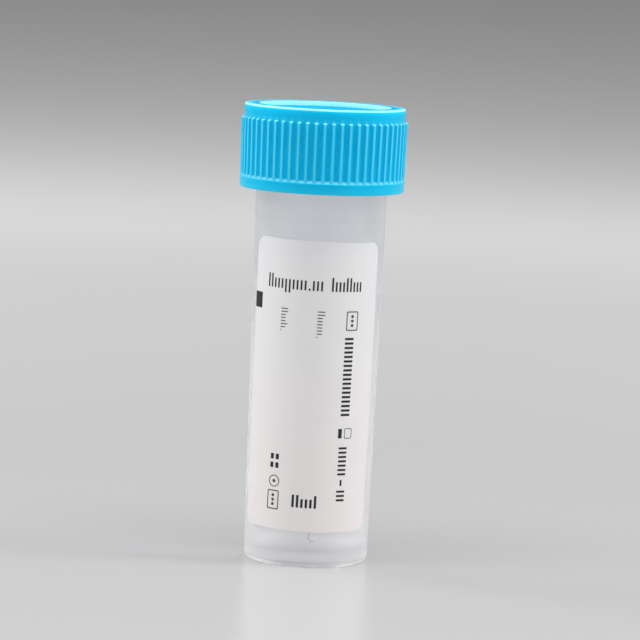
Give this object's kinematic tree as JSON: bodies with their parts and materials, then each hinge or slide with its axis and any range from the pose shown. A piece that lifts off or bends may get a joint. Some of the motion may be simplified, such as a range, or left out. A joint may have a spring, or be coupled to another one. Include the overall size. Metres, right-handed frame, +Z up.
{
  "type": "blood collection tube",
  "caption": "Self-standing translucent plastic sample tube with a ribbed blue screw cap, a soft seal ring and a white wrap-round label.",
  "frame": {"origin": "centre of the foot ring's underside, where the tube meets the table", "axes": "+Z up along the tube's axis to the cap, -Y the front that the label faces, +X to the right of the front"},
  "size_m": [0.021, 0.021, 0.058],
  "materials": {
    "tube": "natural polypropylene, hazy and translucent, smooth outside",
    "cap": "polyethylene coloured right through, satin",
    "seal": "soft silicone, matt",
    "label": "coated white label paper, matt, with plain printed marks"
  },
  "bodies": {
    "tube": {"tube_body": "tube", "label": "label"},
    "seal": {"seal_ring": "seal"},
    "cap": {"screw_cap": "cap"}
  },
  "joints": [
    {"name": "cap_rise", "type": "slide", "parent": "tube", "child": "seal", "axis": [0, 0, 1], "range_m": [0, 0.01205]},
    {"name": "cap_turn", "type": "hinge", "parent": "seal", "child": "cap", "pos_m": [0, 0, 0.052], "axis": [0, 0, 1], "range_deg": [0, 1440]}
  ],
  "couplings": [
    {"joint": "cap_rise", "follows": "cap_turn", "m_per_rad": 0.00047746}
  ]
}
